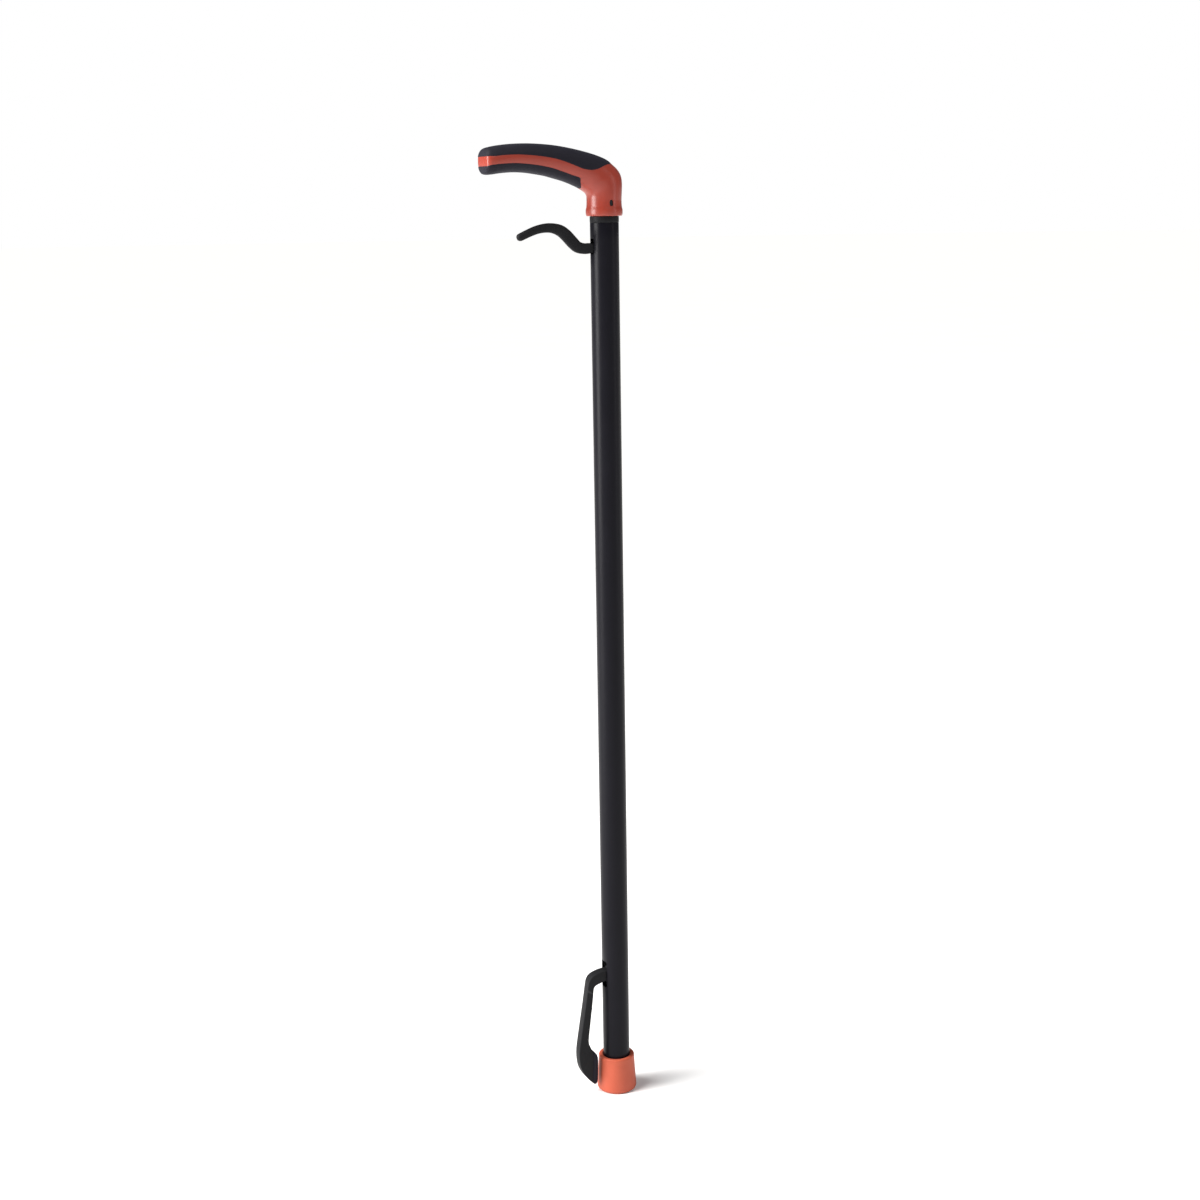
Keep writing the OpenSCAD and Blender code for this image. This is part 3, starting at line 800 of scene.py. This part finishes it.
def lay_pad(name, centre, table, start, rim=0.9, across=49, under=1.35):
    """A rounded pad on the skin, centred on an angle, from a start station to the tip."""
    rows = [start + (0.02 + 0.045 * k) ** 2 for k in range(int(1.55 / 0.045))]
    while rows[-1] < tip_at - 0.12:
        rows.append(rows[-1] + (0.10 if rows[-1] < tip_at - 1.5 else 0.06))
    half, power = tip_half, grip_sections[-1][5] / 2
    level = half * math.cos(math.radians(edge_angle(table, start, tip_at))) ** (1 / power)
    reach = (half - 1.004 * level) / tip_closing
    widths = [edge_angle(table, start, t) for t in rows]
    for u in np.linspace(0, 1, 13):
        rows.append(tip_at + reach * (1 - (1 - u) ** 2))
        left = half - tip_closing * (rows[-1] - tip_at)
        widths.append(math.degrees(math.acos(min(1.0, level / left) ** power)))
    spread = [math.sin(math.pi / 2 * w) for w in np.linspace(-1, 1, across)]
    angles = [[centre + v * w for v in spread] for w in widths]
    flat = [[on_grip(t, a) for a in line] for t, line in zip(rows, angles)]
    border = ([line[0] for line in flat] + flat[-1] + [line[-1] for line in flat[::-1]] + flat[0])
    dense = []
    for p, q in zip(border, border[1:] + border[:1]):
        steps = max(1, int(np.linalg.norm(np.subtract(p, q)) / 0.25))
        dense += [tuple(np.add(p, np.subtract(q, p) * k / steps)) for k in range(steps)]
    tree = KDTree(len(dense))
    for k, p in enumerate(dense):
        tree.insert(p, k)
    tree.balance()

    def drop(p):
        d = min(rim, tree.find(p)[2])
        return 0.14 + rim - math.sqrt(max(0.0, rim * rim - (rim - d) ** 2))

    top = [[on_grip(t, a, drop(p)) for a, p in zip(line, pts)]
           for t, line, pts in zip(rows, angles, flat)]
    low = [[on_grip(t, a, under) for a in line] for t, line in zip(rows, angles)]
    m, n = len(rows), across
    verts = [p for line in top for p in line] + [p for line in low for p in line]
    faces = []
    for j in range(m - 1):
        for k in range(n - 1):
            a = j * n + k
            faces.append((a, a + 1, a + 1 + n, a + n))
            faces.append((a + m * n, a + n + m * n, a + 1 + n + m * n, a + 1 + m * n))
    loop = ([k for k in range(n)] + [j * n + n - 1 for j in range(1, m)]
            + [(m - 1) * n + k for k in range(n - 2, -1, -1)] + [j * n for j in range(m - 2, 0, -1)])
    for a, b in zip(loop, loop[1:] + loop[:1]):
        faces.append((a, a + m * n, b + m * n, b))
    return outward(new_object(name, verts, faces))


print("lay_pad ready")

# %% Top and bottom pads
top_edge = [(5.28, 0.5), (5.3, 12), (5.4, 36), (5.6, 47), (5.8, 61), (6, 78), (6.3, 88), (6.6, 91.5),
            (7, 94), (7.5, 95), (8, 93.5), (9, 90), (10, 87.5), (11, 85.5), (12, 84), (13, 81.5),
            (14, 79), (15, 77), (16, 73.5), (17, 68), (17.5, 60), (18, 48)]
low_edge = [(3.98, 1.0), (4.03, 6), (4.1, 11), (4.4, 16), (5, 24), (5.6, 33), (6, 39), (6.4, 47),
            (6.7, 54), (6.95, 56.5), (7.5, 56.5), (8, 57), (9, 60.5), (10, 64), (11, 67), (12, 68.5),
            (13, 72), (14, 75), (15, 77), (16, 77.5), (17, 75), (17.5, 71), (18, 67)]
top_cover = lay_pad("grip_top_cover", 0, top_edge, 5.28)
crisp(top_cover, 60)
stands_for(top_cover, "frame", "soft_black", soft_black, "grip_top_pad")
bottom_cover = lay_pad("grip_bottom_cover", 180, low_edge, 3.98)
crisp(bottom_cover, 60)
stands_for(bottom_cover, "frame", "soft_black", soft_black, "grip_bottom_pad")

# %% [markdown]
# ## The black ring at the collar
#
# Between the collar and the tube a black insert shows as a thin ring. It
# plugs into both, so most of it is hidden, but its two catches fill the
# collar's windows and its slotted lower end holds the trigger's pin. The
# ring gets a small chamfer below, which draws the fine dark seam there.

# %% Insert
spigot_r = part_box("foot_plug")[1].x / MM
insert_profile = [
    (8.5, collar_z + 27.5), (8.5, collar_z + 3), (0.01, collar_z + 3), (0.01, trig_pz - 18),
    (spigot_r - 0.5, trig_pz - 18), (spigot_r, trig_pz - 17.5), (spigot_r, tube_high + 0.02),
    (tube_r - 0.35, tube_high + 0.02), (tube_r - 0.1, tube_high + 0.12), (tube_r + 0.06, tube_high + 0.34),
    (tube_r + 0.14, tube_high + 0.65), (tube_r + 0.15, tube_high + 1.2), (tube_r + 0.15, collar_z - 0.9),
    (tube_r + 0.1, collar_z - 0.35), (12.2, collar_z - 0.1), (12.2, collar_z + 27.2), (11.9, collar_z + 27.5)]
insert = turned("collar_insert", insert_profile)
for side in (-1, 1):
    catch = [(1.55 * math.cos(a), 10.8 + collar_z + 1.55 * math.sin(a) + (1 if math.sin(a) >= 0 else -1))
             for a in np.linspace(0, 2 * math.pi, 40, endpoint=False)]
    combine(insert, plate("catch", catch, *sorted((side * 11.3, side * 14.3))), "UNION")
hub_half = (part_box("trigger")[1].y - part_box("trigger")[0].y) / MM / 2
slot_low, slot_high = trig_pz - 30, trig_pz + 15
slot_tool = plate("slot_tool", [(-20, slot_low), (20, slot_low), (20, slot_high), (-20, slot_high)],
                  -hub_half - 0.3, hub_half + 0.3)
combine(insert, slot_tool, "DIFFERENCE")
combine(insert, plate("bore", disc_outline(trig_px, trig_pz, 1.52), -20, 20), "DIFFERENCE")
crisp(insert, 30)
stands_for(insert, "frame", "black_nylon", black_moulding, "top_insert")

# %% [markdown]
# ## The tube
#
# The tube is a drawn and coated round tube with two slots in the side that
# the grip points to: a small one for the trigger and a long one for the
# jaw. A turned ring profile gives clean walls, with the ends rounded by a
# fraction of a millimetre. Rows of points every few centimetres keep the
# long quads tidy where the slots are cut, and the cut edges are broken by a
# tiny bevel, which is what catches the light on a real punched slot.

# %% Tube
bore_r = tube_r - 1.5
levels = list(np.arange(tube_low + 12, tube_high - 8, 26.0))
tube_profile = ([(tube_r - 0.25, tube_low), (tube_r, tube_low + 0.25)] + [(tube_r, z) for z in levels]
                + [(tube_r, tube_high - 0.3), (tube_r - 0.08, tube_high - 0.1), (tube_r - 0.28, tube_high),
                   (bore_r + 0.15, tube_high), (bore_r, tube_high - 0.15)]
                + [(bore_r, z) for z in levels[::-1]]
                + [(bore_r, tube_low + 0.15), (bore_r + 0.15, tube_low)])
tube = turned("main_tube_coated", tube_profile, steps=144)
finger_w = 7.0
jaw_w = (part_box("jaw_pad")[1].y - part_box("jaw_pad")[0].y) / MM + 1.0


def side_slot(name, z0, z1, width, r):
    """A round-cornered slot tool that enters from the side the grip points to."""
    outline = round_box(-width / 2, width / 2, z0, z1, r)
    n = len(outline)
    verts = [(-20, y, z) for y, z in outline] + [(-4, y, z) for y, z in outline]
    faces = [tuple(range(n)), tuple(range(2 * n - 1, n - 1, -1))]
    faces += [(k, k + n, (k + 1) % n + n, (k + 1) % n) for k in range(n)]
    return outward(new_object(name, verts, faces, smooth=False))


combine(tube, side_slot("trigger_slot", trig_pz - 5.3, trig_pz + 8.2, finger_w, 1.2), "DIFFERENCE")
combine(tube, side_slot("jaw_slot", jaw_pz - 13.5, jaw_pz + 12.2, jaw_w + 1.6, 1.6), "DIFFERENCE")
rounded(tube, 0.18, segments=2, degrees=50)
crisp(tube, 32)
stands_for(tube, "frame", "dark_tube", dark_coat, "main_tube")

# %% [markdown]
# ## The finger trigger
#
# The trigger is a slim curved lever. It leaves the tube, rises in an
# S-curve and dips again to a rounded fingertip end, so that a finger finds
# it without looking. It is thick at the bend and thin at the tip. A spine
# of points with a thickness at each, wrapped in rounded sections, gives
# that taper. Inside the tube it ends in a small hub with a forked arm.

# %% Trigger blade
# X, height from the collar's edge, half thickness
blade_spine = [(-81.8, -17.8, 2.2), (-80.3, -17.15, 3.1), (-71, -13.2, 3.35), (-63.5, -10.6, 3.55),
               (-56, -9.3, 3.85), (-49, -9.5, 4.2), (-42, -11.6, 4.85), (-36.5, -15.6, 5.2),
               (-30.8, -21.4, 5.25), (-26, -25.6, 4.9), (-20, -27.2, 4.6), (-14, -27, 4.4), (-8, -27, 3.0)]
blade_half = (hub_half - 4.2) + 3.0


tip_round = 3.1
tip_steps = np.linspace(0, 2, 240)
tip_path = [through(blade_spine, t)[:2] for t in tip_steps]
tip_length = np.concatenate(([0], np.cumsum(np.linalg.norm(np.diff(tip_path, axis=0), axis=1))))


def blade_ring(t, share, steps=40):
    """One rounded section of the blade; share closes it at the fingertip end."""
    c, f, b = (through(blade_spine, t + d) for d in (0, 0.05, -0.05))
    run = (f - b)[:2] / np.linalg.norm((f - b)[:2])
    side = np.array([-run[1], run[0]])
    ring = []
    for k in range(steps):
        a = 2 * math.pi * (k + 0.5) / steps
        p = (max(c[2], tip_round) if t < 2 else c[2]) * share * signed_power(math.cos(a), 0.62)
        q = blade_half * share * signed_power(math.sin(a), 0.62)
        ring.append((c[0] + side[0] * p, q, collar_z + c[1] + side[1] * p))
    return ring


blade_rings = []
for d in (7, 16, 26, 36, 46, 56, 66, 78, 90):
    back = tip_round * (1 - math.cos(math.radians(d)))
    blade_rings.append(blade_ring(np.interp(back, tip_length, tip_steps), math.sin(math.radians(d))))
full_at = np.interp(tip_round, tip_length, tip_steps)
blade_rings += [blade_ring(t, 1.0) for t in np.linspace(full_at + 0.07, 11.95, 130)]
trigger = skin_over("finger_trigger", blade_rings)
print("blade:", len(trigger.data.polygons), "faces")


# %% Hub and fork
def arm_outline(px, pz, hub_r, arm, raised, eye_r, steps=40):
    """A round hub with a short arm to an eye, drawn in X and Z."""
    lift = math.radians(raised)
    ex, ez = px + arm * math.cos(lift), pz + arm * math.sin(lift)
    gap = math.acos((hub_r - eye_r) / arm)
    pts = [(px + hub_r * math.cos(a), pz + hub_r * math.sin(a))
           for a in np.linspace(lift + gap, lift + 2 * math.pi - gap, steps)]
    pts += [(ex + eye_r * math.cos(a), ez + eye_r * math.sin(a))
            for a in np.linspace(lift - gap, lift + gap, steps // 2)]
    return pts, (ex, ez)


def fork(obj, px, pz, hub_r, arm, raised, half_width, slit_from):
    """Adds a hub and arm to a lever, slits it for the rod's end and bores its two holes."""
    outline, eye = arm_outline(px, pz, hub_r, arm, raised, 2.9)
    combine(obj, rounded(plate("hub", outline, -half_width, half_width), 0.3, 2, 60), "UNION")
    for turn in (0, raised, 2 * raised):
        a = math.radians(turn)
        outline = [(px + x * math.cos(a) - z * math.sin(a), pz + x * math.sin(a) + z * math.cos(a))
                   for x, z in ((slit_from, -18), (20, -18), (20, 18), (slit_from, 18))]
        combine(obj, plate("slit", outline, -1.75, 1.75), "DIFFERENCE")
    for x, z, r in ((px, pz, 1.55), (eye[0], eye[1], 1.52)):
        combine(obj, plate("bore", disc_outline(x, z, r), -9, 9), "DIFFERENCE")
    return obj


fork(trigger, trig_px, trig_pz, 3.2, 9.5, 11, hub_half, 4.4)
crisp(trigger, 40)
stands_for(trigger, "trigger", "black_nylon", black_moulding, "trigger")

# %% [markdown]
# ## The jaw
#
# The jaw is a stout hook with crisp corners: a short neck out of the tube,
# a straight shank that leans away, and a thick curved end that closes
# against the foot. It is far stiffer than the trigger, so its sections are
# nearly square. Outer and inner points are given for each section, which
# lets the hook thicken on one side only, and each corner is a small arc,
# because a moulded part never has a truly sharp one.

# %% Jaw blade
# outer X and height, inner X and height
jaw_sections = [
    (-8, -694.6, -8, -704.8), (-14, -694.7, -13.5, -705.3), (-19, -695.5, -17, -706.2),
    (-23.7, -697, -20, -707), (-27, -699.2, -22.6, -708.2), (-29.1, -702.6, -24, -710),
    (-30.2, -707.5, -24.6, -713), (-31.2, -714, -25.1, -718), (-32.9, -725, -26.3, -728.5),
    (-34.8, -736.5, -27.6, -738.5), (-36.8, -748.5, -29, -749.5), (-38.7, -760, -30.2, -759),
    (-40.1, -769.5, -30.2, -764.8), (-40.4, -777, -28.4, -769.8), (-39.7, -784.5, -26.1, -775.4),
    (-38.1, -790.6, -26.2, -781.5), (-35.2, -796.2, -26.5, -788.5), (-31.4, -801.5, -27, -796),
    (-26.9, -806.2, -27.5, -803.6)]
jaw_half = jaw_w / 2


def jaw_ring(t, corner=0.75, steps=4):
    s = through(jaw_sections, t)
    outer, inner = np.array([s[0], s[1]]), np.array([s[2], s[3]])
    middle, half = (outer + inner) / 2, np.linalg.norm(outer - inner) / 2
    up = (outer - inner) / (2 * half)
    corner = min(corner, half * 0.45)
    ring = []
    for su, sy, start in ((1, 1, 0), (-1, 1, 90), (-1, -1, 180), (1, -1, 270)):
        for k in range(steps + 1):
            a = math.radians(start + 90 * k / steps)
            p = su * (half - corner) + corner * math.cos(a)
            q = sy * (jaw_half - corner) + corner * math.sin(a)
            ring.append((middle[0] + up[0] * p, q, collar_z + middle[1] + up[1] * p))
    return ring


jaw = skin_over("jaw_hook", [jaw_ring(t) for t in np.linspace(0, len(jaw_sections) - 1, 150)])
fork(jaw, jaw_px, jaw_pz, 5.6, 7.0, 15, 4.9, 4.1)
crisp(jaw, 34)
stands_for(jaw, "jaw", "black_nylon", black_moulding, "jaw")

# %% [markdown]
# ### The jaw's soft facing
#
# The closing face carries a strip of soft black rubber, darker and bluer
# than the hook, which grips what is picked up. It follows the face and
# turns under at the lower end. It is a flat outline with a thickness, and
# all its edges are rounded, because soft rubber never holds a sharp one.

# %% Jaw facing
facing_line = [(-25.2, -775.3), (-23.4, -776.4), (-22, -778.4), (-21.2, -781.2), (-20.9, -785),
               (-21.05, -792), (-21.3, -799), (-21.6, -804), (-22.1, -806.4), (-23.1, -807.8),
               (-24.4, -808), (-25.7, -807.4), (-26.86, -806.2)]
facing_line += [tuple(through(jaw_sections, t)[2:4] + (0.04, 0)) for t in np.linspace(18, 14, 13)]
facing_outline = [(x, collar_z + z) for x, z in facing_line]
facing = plate("jaw_facing", facing_outline, -(jaw_w - 1) / 2, (jaw_w - 1) / 2)
rounded(facing, 0.35, 3, 50)
crisp(facing, 40)
stands_for(facing, "jaw", "soft_black", soft_black, "jaw_pad")

# %% [markdown]
# ## The rubber foot
#
# The foot is a tapered orange cup that the tube is pushed into. Its rim is
# rolled over, with a dark gap where it has been stretched round the tube,
# its lower edge is rounded from wear, and the sole has two grip rings. It
# is a turned profile, with enough points on each curve for a soft light
# edge.

# %% Foot
foot_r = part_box("ferrule")[1].x / MM
foot_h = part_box("ferrule")[1].z / MM


def arc_points(cx, cz, r, a0, a1, steps):
    return [(cx + r * math.cos(math.radians(a)), cz + r * math.sin(math.radians(a)))
            for a in np.linspace(a0, a1, steps)]


foot_profile = [(0.01, 0.1), (5.6, 0.1), (5.85, 0.3), (6.0, 1.2), (8.0, 1.2), (8.15, 0.3), (8.4, 0.0),
                (10.6, 0.0), (10.85, 0.3), (11.0, 1.2), (13.0, 1.2), (13.15, 0.3), (13.4, 0.0)]
foot_profile += arc_points(foot_r - 2.9, 2.9, 2.9, -90, -4, 11)
foot_profile += [(foot_r - 0.02 - 1.68 * (z - 2.9) / (foot_h - 5.3), z)
                 for z in np.linspace(3.9, foot_h - 3.4, 9)]
foot_profile += arc_points(foot_r - 3.2, foot_h - 1.5, 1.5, 4, 86, 9)
foot_profile += [(foot_r - 3.6, foot_h), (tube_r + 1.25, foot_h - 0.03), (tube_r + 0.85, foot_h - 0.2),
                 (tube_r + 0.55, foot_h - 0.6), (tube_r + 0.35, foot_h - 1.2), (tube_r + 0.12, foot_h - 2.2),
                 (tube_r + 0.03, foot_h - 3.4), (tube_r + 0.03, tube_low - 1.5), (0.01, tube_low - 1.5)]
foot = turned("rubber_foot", foot_profile, steps=144)
crisp(foot, 42)
stands_for(foot, "frame", "orange_rubber", foot_orange, "ferrule")

# %% [markdown]
# ## The return spring
#
# The spring pushes the rod back up when the trigger is let go. A helix
# could come from a screw modifier, but its closed ends need the pitch to
# change, so the wire is swept along points instead: one tight turn at each
# end and nine open ones between. The coil rides on the frame and keeps its
# full length.

# %% Return spring
spring_lo, spring_hi = (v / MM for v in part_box("return_spring"))
wire, coil_r, turns = 0.6, (spring_hi.x - spring_lo.x) / 2 - 0.62, 9
coil_x = (spring_lo.x + spring_hi.x) / 2
open_pitch = (spring_hi.z - spring_lo.z - 1.24 - 2 * 1.22) / turns


def coil_ring(turn):
    """One round section of the wire after a number of turns from the bottom."""
    a = 2 * math.pi * turn
    z = spring_lo.z + 0.62 + 1.22 * min(turn, 1) + open_pitch * min(max(turn - 1, 0), turns)
    z += 1.22 * max(turn - 1 - turns, 0)
    away = np.array([math.cos(a), math.sin(a), 0])
    run = np.array([-math.sin(a), math.cos(a), open_pitch / (2 * math.pi * coil_r)])
    over = np.cross(away, run / np.linalg.norm(run))
    centre = np.array([coil_x, 0, z]) + away * coil_r
    return [tuple(centre + wire * (math.cos(b) * away + math.sin(b) * over))
            for b in np.linspace(0, 2 * math.pi, 12, endpoint=False)]


coil = skin_over("coil_spring", [coil_ring(t) for t in np.linspace(0, turns + 2, 30 * (turns + 2))])
crisp(coil, 60)
stands_for(coil, "frame", "steel", turned_steel, "return_spring")
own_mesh(coil)

# %% [markdown]
# ## The mechanism inside
#
# What is left is the mechanism: pins, rod, nuts, guides, the jaw's
# carrier and the plug in the foot. Their shapes in the frame are already
# right, so they stay and only get a finish.

# %% Finishes for the inner pieces
inner = {"steel": turned_steel, "white_guide": bearing_white, "black_nylon": black_moulding,
         "soft_black": soft_black, "dark_tube": dark_coat, "orange_shell": orange_satin,
         "orange_rubber": foot_orange}
slot_of = {s["node"]: s["material_slot"] for s in frame["record"]["subparts"]}
for node_name, solid in sorted(frame["nodes"].items()):
    solid.data.materials.clear()
    solid.data.materials.append(inner[slot_of[node_name]])
    if not solid.hide_render:
        print("kept", node_name, "as", slot_of[node_name])
